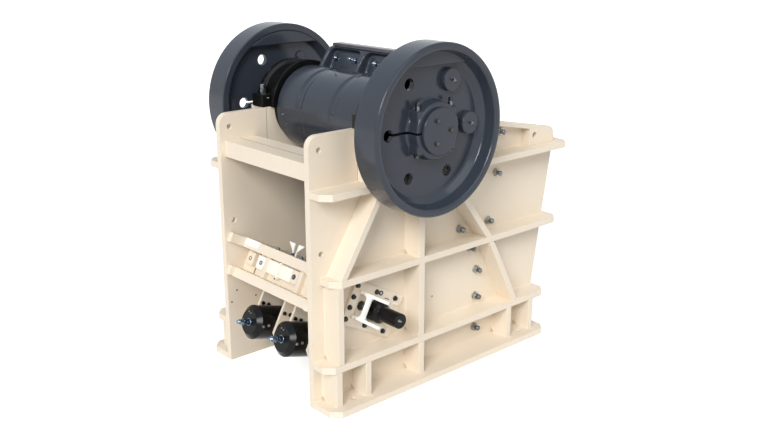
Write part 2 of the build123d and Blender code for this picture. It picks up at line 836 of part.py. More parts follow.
for side_x in (-clamp_x, clamp_x):
    lug_block = Box(clamp_width, clamp_outer_y - web_outer_y + 10, 2 * clamp_half_height)
    lug_block = fillet(lug_block.edges().filter_by(Axis.Y), 18)
    lug_block = Pos(side_x, (clamp_outer_y + web_outer_y - 10) / 2, 0) * lug_block
    wheel += lug_block - rod_y_axis(0, 0, shaft_radius + 5, wheel_inner_y, wheel_outer_y)
slot_height = 17.0
slot_length = web_hole_circle - shaft_radius + 40
wheel -= Pos(-(web_hole_circle + shaft_radius) / 2 + 20, web_outer_y + 15, 0) * Box(
    slot_length, 400, slot_height
)
wheel -= Pos(shaft_radius + 50, web_outer_y + 65, 0) * Box(140, 200, slot_height)
wheel = Pos(shaft_x, 0, shaft_height) * wheel
save(mirrored(wheel), "right_flywheel")
save(wheel, "left_flywheel")

hub_cap = rod_y_axis(shaft_x, shaft_height, hub_cap_radius, hub_cap_y - 28, hub_cap_y)
save(Compound([hub_cap, mirrored(hub_cap)]), "hub_caps")

plug_radius = 83.0
plugs = []
for step in (0, 1):
    turn = math.radians(60 * step)
    px = shaft_x + web_hole_circle * math.cos(turn)
    pz = shaft_height + web_hole_circle * math.sin(turn)
    outer = rod_y_axis(px, pz, plug_radius, web_outer_y, web_outer_y + 42)
    plug = outer + rod_y_axis(px, pz, web_hole_radius - 0.3, web_inner_y - 20, web_outer_y)
    plugs += [plug, mirrored(plug)]
save(Compound(plugs), "balance_plugs")
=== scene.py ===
import json
import math

import bmesh
import bpy
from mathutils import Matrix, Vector


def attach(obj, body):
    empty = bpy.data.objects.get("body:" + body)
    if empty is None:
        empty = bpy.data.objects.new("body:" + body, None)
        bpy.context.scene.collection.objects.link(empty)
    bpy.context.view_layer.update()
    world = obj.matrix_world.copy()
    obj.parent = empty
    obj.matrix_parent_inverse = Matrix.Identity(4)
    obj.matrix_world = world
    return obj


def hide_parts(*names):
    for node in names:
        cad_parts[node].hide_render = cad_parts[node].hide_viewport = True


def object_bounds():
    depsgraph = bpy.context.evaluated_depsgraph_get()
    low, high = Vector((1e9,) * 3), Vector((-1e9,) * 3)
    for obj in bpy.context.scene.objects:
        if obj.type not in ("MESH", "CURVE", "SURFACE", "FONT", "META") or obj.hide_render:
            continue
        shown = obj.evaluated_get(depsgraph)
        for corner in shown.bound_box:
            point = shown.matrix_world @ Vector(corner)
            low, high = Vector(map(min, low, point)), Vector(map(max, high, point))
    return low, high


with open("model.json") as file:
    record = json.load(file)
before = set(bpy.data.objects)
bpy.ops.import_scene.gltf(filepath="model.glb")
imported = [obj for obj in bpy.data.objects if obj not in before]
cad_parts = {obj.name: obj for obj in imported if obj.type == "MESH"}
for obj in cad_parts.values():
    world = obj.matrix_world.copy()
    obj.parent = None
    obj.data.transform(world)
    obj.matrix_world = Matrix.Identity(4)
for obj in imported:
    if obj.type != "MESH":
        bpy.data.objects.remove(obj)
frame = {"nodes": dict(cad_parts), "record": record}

SOLID_BOX = [list(map(float, corner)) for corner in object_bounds()]

scene = bpy.context.scene
scene.view_settings.view_transform = "Standard"

# Directions: across the machine to its left, up, and to its rear
SIDE = Vector((0.0, 1.0, 0.0))
UP = Vector((0.0, 0.0, 1.0))
BACK = Vector((-1.0, 0.0, 0.0))

# Places in metres: rear edge of the side plates, shaft, and the eccentric pin one throw below it.
# SHAFT_AT is how far the shaft is to the front of the rear edge, in millimetres.
REAR = -1.266
SHAFT_AT = 821.5
SHAFT_X, SHAFT_Z = REAR + SHAFT_AT / 1000, 2.012
THROW = 0.016
PIN_Z = SHAFT_Z - THROW

# The toggle line, which slopes down to the front: a point on it and its own directions
TILT = math.radians(28.0)
LINE = Vector((REAR + 0.100, 0.0, 0.878))
ALONG = Vector((math.cos(TILT), 0.0, -math.sin(TILT)))
ABOVE = Vector((math.sin(TILT), 0.0, math.cos(TILT)))

# The tension rods' ends at the rear: their rise, their own directions, their places across, how
# far behind the side plates they leave the spring cans, and their height at the plates' rear edge
ROD_RISE = 0.30
ROD_AXIS = Vector((-math.cos(math.atan(ROD_RISE)), 0, math.sin(math.atan(ROD_RISE))))
ROD_UP = Vector((math.sin(math.atan(ROD_RISE)), 0, math.cos(math.atan(ROD_RISE))))
ROD_Y = (213, -213)
ROD_BEHIND, ROD_HEIGHT = 16, 436

# Axes of a block, in the order of its sizes
UPRIGHT = ((1, 0, 0), (0, 0, 1), (0, 1, 0))
LEVEL = ((1, 0, 0), (0, 1, 0), (0, 0, 1))
CROSSWISE = ((0, 1, 0), (1, 0, 0), (0, 0, 1))
LEANING = (ALONG, SIDE, ABOVE)

# Millimetres: outer faces of the side plates and of the wedge covers, counted from the machine's
# middle, and the thickness of side plates, flanges and ribs
PLATE_FACE = 574
COVER_FACE = 599
PLATE_THICK = 51

# Metres: bore of the flywheels, circle of their web holes, half height of the hub's clamp lugs,
# and the place across of the lugs' bolts
WHEEL_BORE = 0.1205
WEB_CIRCLE = 0.380
LUG_HALF = 0.155
CLAMP_Y = 0.935

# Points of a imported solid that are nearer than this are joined, in metres
MERGE = 0.00002


def on_line(d, y, u):
    """Point in the toggle line's own directions, given in millimetres."""
    return LINE + ALONG * d / 1000 + SIDE * y / 1000 + ABOVE * u / 1000


def at(x, y, z):
    """Point given in millimetres, with x counted from the rear edge of the side plates."""
    return Vector((REAR + x / 1000, y / 1000, z / 1000))


def off_shaft(radius, angle, y):
    """Point at a radius and an angle round the shaft, in metres and radians."""
    return Vector((SHAFT_X + radius * math.cos(angle), y, SHAFT_Z + radius * math.sin(angle)))


def rod_end(y):
    """Middle of a tension rod where it leaves its spring can."""
    return at(-ROD_BEHIND, y, ROD_HEIGHT + ROD_RISE * ROD_BEHIND)


# Materials

def new_material(name):
    mat = bpy.data.materials.new(name)
    mat.use_nodes = True
    tree = mat.node_tree
    return mat, tree, tree.nodes["Principled BSDF"]


def feed(tree, value, socket):
    """Link a socket to an output, or set it to a colour or a number."""
    if hasattr(value, "is_output"):
        tree.links.new(value, socket)
    elif isinstance(value, tuple):
        socket.default_value = (*value, 1.0)
    else:
        socket.default_value = value


def noise(tree, coords, scale, detail, rough):
    node = tree.nodes.new("ShaderNodeTexNoise")
    node.inputs["Scale"].default_value = scale
    node.inputs["Detail"].default_value = detail
    node.inputs["Roughness"].default_value = rough
    tree.links.new(coords, node.inputs["Vector"])
    return node.outputs["Fac"]


def spread(tree, value, low, high, out_low, out_high):
    """Value taken from one range to another."""
    node = tree.nodes.new("ShaderNodeMapRange")
    node.inputs["From Min"].default_value = low
    node.inputs["From Max"].default_value = high
    node.inputs["To Min"].default_value = out_low
    node.inputs["To Max"].default_value = out_high
    tree.links.new(value, node.inputs["Value"])
    return node.outputs["Result"]


def maths(tree, operation, first, second):
    node = tree.nodes.new("ShaderNodeMath")
    node.operation = operation
    feed(tree, first, node.inputs[0])
    feed(tree, second, node.inputs[1])
    return node.outputs[0]


def blend_colour(tree, factor, first, second):
    node = tree.nodes.new("ShaderNodeMix")
    node.data_type = "RGBA"
    feed(tree, first, node.inputs[6])
    feed(tree, second, node.inputs[7])
    tree.links.new(factor, node.inputs[0])
    return node.outputs[2]


def relief(tree, height, strength, distance, normal=None):
    """Normal with a fine bump on it."""
    node = tree.nodes.new("ShaderNodeBump")
    node.inputs["Strength"].default_value = strength
    node.inputs["Distance"].default_value = distance
    tree.links.new(height, node.inputs["Height"])
    if normal:
        tree.links.new(normal, node.inputs["Normal"])
    return node.outputs[0]


def rounded_normal(tree, radius):
    """Normal that rounds edges and fills inner corners over the given radius."""
    bevel = tree.nodes.new("ShaderNodeBevel")
    bevel.samples = 6
    bevel.inputs["Radius"].default_value = radius
    return bevel.outputs[0]


def edge_highlight_mask(tree, normal, coords):
    """Up to 0.6 on edges, broken up by noise, and 0 elsewhere: the mask of a painted highlight
    along edges.
    """
    geometry = tree.nodes.new("ShaderNodeNewGeometry")
    dot = tree.nodes.new("ShaderNodeVectorMath")
    dot.operation = "DOT_PRODUCT"
    tree.links.new(normal, dot.inputs[0])
    tree.links.new(geometry.outputs["Normal"], dot.inputs[1])
    edge = spread(tree, dot.outputs["Value"], 0.97, 0.80, 0.0, 0.6)
    grain = spread(tree, noise(tree, coords, 14.0, 3.0, 0.5), 0.42, 0.70, 0.0, 1.0)
    return maths(tree, "MULTIPLY", edge, grain)


def paint(name, colour, edge_light, dark=0.98, light=1.01, rough=0.42, coat=0.10, bump=0.06,
          grain=160.0, specular=0.35, round_over=0.003):
    """Sprayed paint: broad changes of tone, runs, a fine skin, and a painted highlight of lighter
    colour along the edges.
    """
    mat, tree, shader = new_material(name)
    coords = tree.nodes.new("ShaderNodeTexCoord").outputs["Object"]
    broad = spread(tree, noise(tree, coords, 1.7, 4.0, 0.55), 0.35, 0.65, 0.0, 1.0)
    fine = spread(tree, noise(tree, coords, 21.0, 5.0, 0.6), 0.35, 0.65, 0.0, 1.0)
    darker = tuple(c * dark for c in colour)
    lighter = tuple(min(c * light, 1) for c in colour)
    body = blend_colour(tree, broad, darker, lighter)
    streak = tree.nodes.new("ShaderNodeMapping")
    streak.inputs["Scale"].default_value = (9.0, 9.0, 0.9)
    tree.links.new(coords, streak.inputs["Vector"])
    runs = spread(tree, noise(tree, streak.outputs[0], 1.0, 5.0, 0.6), 0.56, 0.78, 0.0, 0.30)
    body = blend_colour(tree, runs, body, tuple(c * dark * dark for c in colour))
    normal = rounded_normal(tree, round_over)
    # painted highlight: edges blended towards a lighter colour
    body = blend_colour(tree, edge_highlight_mask(tree, normal, coords), body, edge_light)
    tree.links.new(body, shader.inputs["Base Color"])
    shine = spread(tree, fine, 0.0, 1.0, rough * 0.92, rough * 1.08)
    tree.links.new(shine, shader.inputs["Roughness"])
    shader.inputs["Specular IOR Level"].default_value = specular
    shader.inputs["Coat Weight"].default_value = coat
    shader.inputs["Coat Roughness"].default_value = 0.12
    height = noise(tree, coords, grain, 2.0, 0.5)
    tree.links.new(relief(tree, height, bump, 0.001, normal), shader.inputs["Normal"])
    return mat


def metal(name, colour, tint, rough, grain=90.0, bump=0.3, metallic=1.0, rust=None):
    """Bare, plated or primed metal with brushed variation and a little tarnish."""
    mat, tree, shader = new_material(name)
    coords = tree.nodes.new("ShaderNodeTexCoord").outputs["Object"]
    cloud = spread(tree, noise(tree, coords, grain * 0.25, 5.0, 0.6), 0.35, 0.68, 0.0, 1.0)
    body = blend_colour(tree, cloud, colour, tint)
    if rust:
        spots = spread(tree, noise(tree, coords, 13.0, 6.0, 0.7), 0.52, 0.66, 0.0, 0.8)
        body = blend_colour(tree, spots, body, rust)
    tree.links.new(body, shader.inputs["Base Color"])
    shader.inputs["Metallic"].default_value = metallic
    brushed = noise(tree, coords, grain, 4.0, 0.6)
    shine = spread(tree, brushed, 0.3, 0.7, rough * 0.75, rough * 1.3)
    tree.links.new(shine, shader.inputs["Roughness"])
    height = noise(tree, coords, grain * 3, 4.0, 0.6)
    tree.links.new(relief(tree, height, bump, 0.0005), shader.inputs["Normal"])
    return mat


CREAM = paint("cream_paint", (0.79, 0.695, 0.566), (0.83, 0.75, 0.63), light=1.015, rough=0.46,
              bump=0.08)
# ivory and white: lit copies of the cream paint, painted light and highlight on faces turned to the
# light
LIT_IVORY = paint("painted_light_ivory", (0.93, 0.90, 0.78), (0.94, 0.91, 0.82))
LIT_WHITE = paint("painted_light_white", (0.93, 0.915, 0.88), (0.94, 0.93, 0.90))
GREY = paint("grey_paint", (0.033, 0.040, 0.054), (0.055, 0.062, 0.076), dark=0.95, light=1.05,
             rough=0.19, coat=0.12, bump=0.02, grain=60.0, specular=0.26, round_over=0.010)
BLACK = paint("black_paint", (0.006, 0.006, 0.006), (0.02, 0.02, 0.02), dark=0.85, light=1.2,
              rough=0.24, coat=0.06, bump=0.03, grain=90.0, specular=0.13, round_over=0.005)
BOLT = metal("bolt_steel", (0.50, 0.50, 0.46), (0.32, 0.32, 0.29), 0.30)
STUD = metal("stud_steel", (0.20, 0.21, 0.22), (0.11, 0.115, 0.12), 0.20)
OLIVE_BOLT = metal("oiled_steel", (0.10, 0.105, 0.085), (0.05, 0.052, 0.044), 0.36, metallic=0.9)
DARK_BOLT = metal("blackened_steel", (0.05, 0.055, 0.06), (0.025, 0.026, 0.028), 0.36,
                  metallic=0.9)
BLUED = metal("zinc_steel", (0.24, 0.31, 0.39), (0.13, 0.17, 0.22), 0.25)
SHAFT = metal("turned_steel", (0.50, 0.50, 0.49), (0.36, 0.36, 0.35), 0.25, grain=120.0,
              bump=0.15)
MANGANESE = metal("manganese_steel", (0.15, 0.14, 0.13), (0.09, 0.083, 0.075), 0.55, grain=40.0,
                  bump=0.9, metallic=0.75, rust=(0.16, 0.085, 0.045))
PACK = metal("painted_shim", (0.088, 0.100, 0.125), (0.065, 0.075, 0.095), 0.38, grain=60.0,
             bump=0.05, metallic=0.0)
# dark seams of joints, and painted shade over a slit
SEAM_AND_SHADE = metal("seam_rust_and_slit_shade", (0.30, 0.20, 0.10), (0.20, 0.13, 0.07), 0.7, grain=60.0, bump=0.6,
             metallic=0.0)
SHIM = metal("primed_shim", (0.24, 0.045, 0.035), (0.16, 0.03, 0.025), 0.5, grain=60.0,
             metallic=0.0)

SLOT_MATERIAL = {
    "cream_paint": CREAM,
    "grey_paint": GREY,
    "black_paint": BLACK,
    "steel": SHAFT,
    "manganese_steel": MANGANESE,
}


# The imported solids

def weigh_normals(obj):
    """Shading that keeps large faces flat."""
    normals = obj.modifiers.new("normals", "WEIGHTED_NORMAL")
    normals.weight = 100
    normals.keep_sharp = True


def soften(obj, width):
    """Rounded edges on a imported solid, made by modifiers only."""
    weld = obj.modifiers.new("weld", "WELD")
    weld.merge_threshold = MERGE
    flat = obj.modifiers.new("flat", "DECIMATE")
    flat.decimate_type = "DISSOLVE"
    flat.angle_limit = math.radians(0.4)
    bevel = obj.modifiers.new("bevel", "BEVEL")
    bevel.width = width
    bevel.segments = 2
    bevel.limit_method = "ANGLE"
    bevel.angle_limit = math.radians(28.0)
    bevel.miter_outer = "MITER_SHARP"
    weigh_normals(obj)
    obj.data.shade_smooth()


# Width of the rounded edges by a word in the node's name; "lug" is in balance_plugs too
EDGE = {"bearing_housing": 0.006, "hub_caps": 0.008, "wedge_covers": 0.003, "toggle_beam": 0.003,
        "rear_cross_beam": 0.004, "cheek": 0.003, "die": 0.003, "side_plate": 0.003, "lug": 0.004,
        "jaw_clamp_bar": 0.006}
EDGE_ELSEWHERE = 0.0025

slots = {s["node"]: s["material_slot"] for s in frame["record"]["subparts"]}
for name, obj in frame["nodes"].items():
    obj.data.materials.clear()
    obj.data.materials.append(SLOT_MATERIAL[slots[name]])
    soften(obj, next((width for word, width in EDGE.items() if word in name), EDGE_ELSEWHERE))


# Mesh code

def skin(bm, rows):
    """Faces between closed rows of points that follow each other."""
    for low, high in zip(rows, rows[1:]):
        for k in range(len(low)):
            nxt = (k + 1) % len(low)
            bm.faces.new((low[k], low[nxt], high[nxt], high[k]))


def close_ends(bm, rows):
    bm.faces.new(list(reversed(rows[0])))
    bm.faces.new(rows[-1])


def rings(bm, origin, axis, table, segments, turn=0.0, cap=True):
    """Skin over rings round an axis; each ring is (height, radius function or number)."""
    axis = Vector(axis).normalized()
    other = Vector((0, 0, 1)) if abs(axis.z) < 0.9 else Vector((1, 0, 0))
    first = other.cross(axis).normalized()
    second = axis.cross(first)
    rows = []
    for height, radius in table:
        row = []
        for k in range(segments):
            angle = 2 * math.pi * k / segments + turn
            r = radius(angle - turn) if callable(radius) else radius
            around = (first * math.cos(angle) + second * math.sin(angle)) * r
            row.append(bm.verts.new(origin + axis * height + around))
        rows.append(row)
    skin(bm, rows)
    if cap:
        close_ends(bm, rows)


def prism(bm, low, high):
    """Solid between two outlines with the same number of points."""
    rows = [[bm.verts.new(p) for p in low], [bm.verts.new(p) for p in high]]
    skin(bm, rows)
    close_ends(bm, rows)
    return rows[0] + rows[1]


def plate(bm, outline, thickness):
    """Solid from an outline and the vector through its thickness."""
    return prism(bm, outline, [p + thickness for p in outline])


def block(bm, centre, axes, sizes, edge=0.0, segments=3):
    """Box on three axes, with its edges rounded where an edge radius is given."""
    a, b, c = (Vector(axis) * size / 2 for axis, size in zip(axes, sizes))
    corners = ((-1, -1), (1, -1), (1, 1), (-1, 1))
    verts = plate(bm, [centre - c + a * i + b * j for i, j in corners], c * 2)
    if edge:
        edges = {e for v in verts for e in v.link_edges}
        bmesh.ops.bevel(bm, geom=list(edges), offset=edge, segments=segments, affect="EDGES",
                        profile=0.5)


def rounded(points):
    """Closed outline in radius and y with each corner rounded by its own radius.

    A fillet takes no more than 0.48 of a side, and its points are at most 14 degrees apart.
    """
    out = []
    for k, (r, y, fillet) in enumerate(points):
        p = Vector((r, y))
        a = Vector(points[k - 1][:2]) - p
        b = Vector(points[(k + 1) % len(points)][:2]) - p
        half = a.angle(b) / 2
        reach = min(fillet / math.tan(half), 0.48 * a.length, 0.48 * b.length)
        fillet = reach * math.tan(half)
        middle = (a.normalized() + b.normalized()).normalized()
        centre = p + middle * fillet / math.sin(half)
        start, end = p + a.normalized() * reach - centre, p + b.normalized() * reach - centre
        low = math.atan2(start.y, start.x)
        sweep = (math.atan2(end.y, end.x) - low + math.pi) % (2 * math.pi) - math.pi
        steps = max(2, int(abs(sweep) / math.radians(14)) + 1)
        for j in range(steps + 1):
            angle = low + sweep * j / steps
            out.append(centre + Vector((math.cos(angle), math.sin(angle))) * fillet)
    return out


def lathe(bm, outline, x, z, segments):
    """Ring turned about a line across the machine, from a closed outline in radius and y."""
    rows = []
    for k in range(segments):
        angle = 2 * math.pi * k / segments
        across, rise = math.cos(angle), math.sin(angle)
        rows.append([bm.verts.new((x + p.x * across, p.y, z + p.x * rise)) for p in outline])
    skin(bm, rows + rows[:1])


def cut_off(bm, point, normal):
    """Cut away what lies past a plane, and leave the cut open."""
    geom = list(bm.verts) + list(bm.edges) + list(bm.faces)
    bmesh.ops.bisect_plane(bm, geom=geom, plane_co=point, plane_no=normal, clear_outer=True)


def fill_open(bm):
    bmesh.ops.holes_fill(bm, edges=[e for e in bm.edges if e.is_boundary])


def copy_of(node):
    """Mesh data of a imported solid, in its place and with its doubled points merged."""
    bm = bmesh.new()
    bm.from_mesh(frame["nodes"][node].data)
    bm.transform(frame["nodes"][node].matrix_world)
    bmesh.ops.remove_doubles(bm, verts=bm.verts, dist=MERGE)
    return bm


def new_object(bm, name):
    """Object in the scene from mesh data, which is used up."""
    mesh = bpy.data.meshes.new(name)
    bm.to_mesh(mesh)
    bm.free()
    obj = bpy.data.objects.new(name, mesh)
    scene.collection.objects.link(obj)
    return obj


def scratch(bm, name):
    """Object for a step on the way, with its faces turned outwards."""
    bmesh.ops.recalc_face_normals(bm, faces=bm.faces)
    return new_object(bm, name)


def discard(obj):
    mesh = obj.data
    bpy.data.objects.remove(obj)
    bpy.data.meshes.remove(mesh)


def released(obj):
    """Mesh data of a scratch object, which is then gone."""
    bm = bmesh.new()
    bm.from_mesh(obj.data)
    discard(obj)
    return bm


def bake(obj):
    """Put the result of an object's modifiers into its mesh."""
    seen = obj.evaluated_get(bpy.context.evaluated_depsgraph_get())
    mesh = bpy.data.meshes.new_from_object(seen)
    obj.modifiers.clear()
    old = obj.data
    obj.data = mesh
    bpy.data.meshes.remove(old)


def combine(obj, tool, operation):
    """Union or difference with a scratch object, which is then gone."""
    step = obj.modifiers.new("combine", "BOOLEAN")
    step.operation = operation
    step.solver = "EXACT"
    step.object = tool
    bake(obj)
    discard(tool)


def finish_piece(bm, name, body, material, angle=32.0, weighted=False):
    """Object of the visual model, on its body and in its slot."""
    obj = scratch(bm, name)
    obj.data.materials.append(material)
    obj.data.shade_smooth()
    obj.data.set_sharp_from_angle(angle=math.radians(angle))
    if weighted:
        weigh_normals(obj)
    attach(obj, body)
    return obj


# Flywheels

# Radii of hub and rim, and the inner and outer faces of hub, rim and web across the machine
HUB, RIM_INSIDE, RIM = 0.205, 0.556, 0.610
HUB_INNER, HUB_OUTER = 0.7645, 0.983
RIM_INNER, RIM_OUTER = 0.7945, 1.015
WEB_INNER, WEB_OUTER = 0.845, 0.885
# Corners of the wheel's section: radius, y and fillet
WHEEL = [(WHEEL_BORE, HUB_INNER, 0.003), (HUB, HUB_INNER, 0.010), (HUB, WEB_INNER, 0.024),
         (0.505, WEB_INNER, 0.026), (RIM_INSIDE, RIM_INNER, 0.012), (RIM, RIM_INNER, 0.008),
         (RIM, RIM_OUTER, 0.016), (RIM_INSIDE, RIM_OUTER, 0.022), (0.534, 0.925, 0.026),
         (0.487, WEB_OUTER, 0.038), (HUB, WEB_OUTER, 0.026), (HUB, HUB_OUTER, 0.016),
         (WHEEL_BORE, HUB_OUTER, 0.003)]
# Mouth of a web hole: distance out of the web's face, and radius
MOUTH = ((0.015, 0.056), (0.0045, 0.0465), (0.0025, 0.0435), (-0.0025, 0.041))
WEB_HOLE = [(WEB_INNER - out, radius) for out, radius in MOUTH]
WEB_HOLE += [(WEB_OUTER + out, radius) for out, radius in reversed(MOUTH)]


def add_counterweight(bm):
    """Weight inside the rim across the top, flat along its chord."""
    radius, chord = 0.549, 0.445
    edge = math.asin(chord / radius)
    turns = [edge + (math.pi - 2 * edge) * k / 24 for k in range(25)]
    plate(bm, [off_shaft(radius, t, 0.790) for t in turns], SIDE * 0.150)
    # only the two long edges of the chord's face are rounded
    flat = [e for e in bm.edges if all(abs(v.co.z - SHAFT_Z - chord) < 1e-5 for v in e.verts)
            and abs(e.verts[0].co.y - e.verts[1].co.y) < 1e-6]
    bmesh.ops.bevel(bm, geom=flat, offset=0.010, segments=4, affect="EDGES", profile=0.5)


def wheel_mesh():
    bm = bmesh.new()
    lathe(bm, rounded(WHEEL), SHAFT_X, SHAFT_Z, 144)
    wheel = scratch(bm, "wheel_ring")

    bm = bmesh.new()
    add_counterweight(bm)
    for x in (-0.148, 0.148):
        clamp_lug = Vector((SHAFT_X + x, 0.925, SHAFT_Z))
        block(bm, clamp_lug, UPRIGHT, (0.084, LUG_HALF * 2, 0.100), 0.018, 5)
    combine(wheel, scratch(bm, "wheel_lugs"), "UNION")

    # the web holes, and the bore again where the lugs crossed it
    bm = bmesh.new()
    for k in range(6):
        rings(bm, off_shaft(WEB_CIRCLE, math.radians(60 * k), 0.0), SIDE, WEB_HOLE, 40)
    combine(wheel, scratch(bm, "web_holes"), "DIFFERENCE")
    bm = bmesh.new()
    bore = [(0.70, WHEEL_BORE), (1.10, WHEEL_BORE)]
    rings(bm, Vector((SHAFT_X, 0.0, SHAFT_Z)), SIDE, bore, 96)
    combine(wheel, scratch(bm, "wheel_bore"), "DIFFERENCE")

    # the split through hub and web on one side, and through the hub alone on the other
    bm = bmesh.new()
    block(bm, Vector((SHAFT_X - 0.230, 0.900, SHAFT_Z)), UPRIGHT, (0.300, 0.017, 0.400))
    block(bm, Vector((SHAFT_X + 0.165, 0.950, SHAFT_Z)), UPRIGHT, (0.140, 0.017, 0.126))
    combine(wheel, scratch(bm, "wheel_split"), "DIFFERENCE")
    return wheel


wheel = wheel_mesh()
for side, word in ((1, "left"), (-1, "right")):
    bm = bmesh.new()
    bm.from_mesh(wheel.data)
    if side < 0:
        bmesh.ops.scale(bm, vec=(1, -1, 1), verts=bm.verts)
        bmesh.ops.reverse_faces(bm, faces=bm.faces)
    piece = finish_piece(bm, word + "_wheel_casting", "crankshaft", GREY, 35.0, True)
    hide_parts(word + "_flywheel")
discard(wheel)


# Pitman

# The head's pockets: their lean, their own directions, and their place on the middle plane
POCKET_LEAN = math.radians(20.0)
POCKET_OUT = Vector((-math.cos(POCKET_LEAN), 0, math.sin(POCKET_LEAN)))
POCKET_DOWN = Vector((-math.sin(POCKET_LEAN), 0, -math.cos(POCKET_LEAN)))
POCKET = Vector((-0.300, 0, 2.244)) - POCKET_DOWN * 0.100

HEAD_TOP = 2.465
HEAD_VIEW = ((-0.4645, 2.196), (-0.3745, 2.309), (-0.2725, HEAD_TOP), (-0.2195, HEAD_TOP),
             (-0.1735, 2.330), (-0.0975, 1.996))
# The barrel: its radii at the middle, in the grooves and at the ends, and its bore
BARREL_MIDDLE, GROOVE, BARREL_END, BARREL_BORE = 0.3235, 0.3120, 0.3258, 0.1505
# Corners of the left half of the barrel's section: radius, y and fillet
HALF_BARREL = [(BARREL_MIDDLE, 0.158, 0.020), (GROOVE, 0.178, 0.020), (GROOVE, 0.216, 0.020),
               (BARREL_END, 0.238, 0.020), (BARREL_END, 0.480, 0.022), (BARREL_BORE, 0.480, 0.003)]
BARREL = [(r, -y, fillet) for r, y, fillet in reversed(HALF_BARREL)] + HALF_BARREL
# The head's own round part is kept a little inside the barrel, and its hidden faces are dropped
HEAD_ROUND, HIDDEN_RADIUS, HIDDEN_Y = 0.3105, 0.3100, 0.476


def pocket_outline(middle):
    """Rectangle with round corners, a little wider at its foot than at its top.

    middle is its place across the machine.
    """
    half_height, half_width, fillet, flare = 0.104, 0.190, 0.055, 0.06
    outline = []
    for i, j, first in ((1, 1, 0), (-1, 1, 90), (-1, -1, 180), (1, -1, 270)):
        for k in range(9):
            a = math.radians(first + k * 11.25)
            along = j * (half_height - fillet) + fillet * math.sin(a)
            across = i * (half_width + flare * along - fillet) + fillet * math.cos(a)
            outline.append(POCKET + SIDE * (middle + across) + POCKET_DOWN * along)
    return outline


def head_mesh():
    """The head's wall and ribs with two rounded pockets, cast smooth into the barrel."""
    half, corner, pocket_y = 0.450, 0.035, 0.2135
    bm = bmesh.new()
    prism(bm, [(x, -half, z) for x, z in HEAD_VIEW], [(x, half, z) for x, z in HEAD_VIEW])
    for side in (-1, 1):
        cut_off(bm, (0, side * half, HEAD_TOP - corner), (0, side, 1))
        fill_open(bm)
    casting = scratch(bm, "head_block")
    bm = bmesh.new()
    for side in (-1, 1):
        plate(bm, pocket_outline(side * pocket_y), POCKET_OUT * 0.4)
    combine(casting, scratch(bm, "head_pockets"), "DIFFERENCE")
    bm = released(casting)
    part = [(-0.470, HEAD_ROUND), (0.470, HEAD_ROUND)]
    rings(bm, Vector((SHAFT_X, 0, PIN_Z)), SIDE, part, 160)
    casting = scratch(bm, "head_cast")
    remesh = casting.modifiers.new("skin", "REMESH")
    remesh.mode = "VOXEL"
    remesh.voxel_size = 0.006
    ease = casting.modifiers.new("ease", "SMOOTH")
    ease.factor = 0.5
    ease.iterations = 42
    bake(casting)
    bm = released(casting)
    hidden = []
    for face in bm.faces:
        centre = face.calc_center_median()
        radius = math.hypot(centre.x - SHAFT_X, centre.z - PIN_Z)
        if radius < HIDDEN_RADIUS and abs(centre.y) < HIDDEN_Y:
            hidden.append(face)
    bmesh.ops.delete(bm, geom=hidden, context="FACES")
    return bm


bm = head_mesh()
lathe(bm, rounded(BARREL), SHAFT_X, PIN_Z, 160)
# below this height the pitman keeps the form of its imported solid
KEPT_BELOW = 2.05
packed = copy_of("pitman")
cut_off(packed, (0, 0, KEPT_BELOW), (0, 0, 1))
lower = bpy.data.meshes.new("pitman_lower")
packed.to_mesh(lower)
packed.free()
bm.from_mesh(lower)
bpy.data.meshes.remove(lower)
piece = finish_piece(bm, "pitman_casting", "pitman", GREY, 35.0, True)
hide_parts("pitman")


# Fasteners in mesh code

def hexagon(flats, limit=None):
    """Radius of a hexagon at an angle, cut to a circle where a limit is given."""
    def radius(angle):
        part = (angle % (math.pi / 3)) - math.pi / 6
        r = flats / 2 / math.cos(part)
        return min(r, limit) if limit else r
    return radius


def hex_head(bm, origin, axis, flats, height, turn=0.0):
    """Hexagon with turned chamfers at both ends."""
    drop = flats * 0.03
    tip, chamfer = hexagon(flats, flats * 0.515), hexagon(flats, flats * 0.56)
    table = [(0.0, tip), (drop, chamfer), (drop * 2, hexagon(flats)),
             (height - drop * 2, hexagon(flats)), (height - drop, chamfer), (height, tip),
             (height + 0.0001, flats * 0.47)]
    rings(bm, origin, axis, table, 24, turn)


def washer(bm, origin, axis, radius, thick):
    edge = thick * 0.25
    table = [(0.0, radius), (thick - edge, radius), (thick, radius - edge)]
    rings(bm, origin, axis, table, 32)


def collar(bm, origin, axis, outer, inner, thick):
    """Flat ring with an open middle."""
    table = [(0.0, inner), (0.0, outer), (thick, outer), (thick, inner), (0.0, inner)]
    rings(bm, origin, axis, table, 28, cap=False)


def thread(bm, origin, axis, radius, length, pitch):
    """Stud end with its thread cut as fine rings and a chamfered tip."""
    table = [(0.0, radius)]
    z = 0.0
    while z + pitch < length - radius * 0.25:
        table += [(z + pitch * 0.25, radius), (z + pitch * 0.6, radius * 0.9),
                  (z + pitch * 0.95, radius)]
        z += pitch
    table += [(length - radius * 0.22, radius * 0.97), (length, radius * 0.72)]
    rings(bm, origin, axis, table, 20)


def bolted(bm, origin, axis, size, stub, turn, ends=None):
    """Washer, nut and stud end, sized from the thread's diameter in metres.

    The stud end stands out by stub times the diameter, and goes into ends where that is given.
    """
    washer(bm, origin, axis, size * 0.92, size * 0.16)
    height = size * 0.16
    hex_head(bm, origin + axis * height, axis, size * 1.56, size * 0.8, turn)
    height += size * 0.8 + 0.0002
    start = origin + axis * (height - size * 0.3)
    thread(ends or bm, start, axis, size * 0.56, size * (0.3 + stub), size * 0.11)


def bolt_head(bm, origin, axis, flats, turn=0.0):
    """Washer and bolt head."""
    washer(bm, origin, axis, flats * 0.68, flats * 0.10)
    hex_head(bm, origin + axis * flats * 0.10, axis, flats, flats * 0.42, turn)


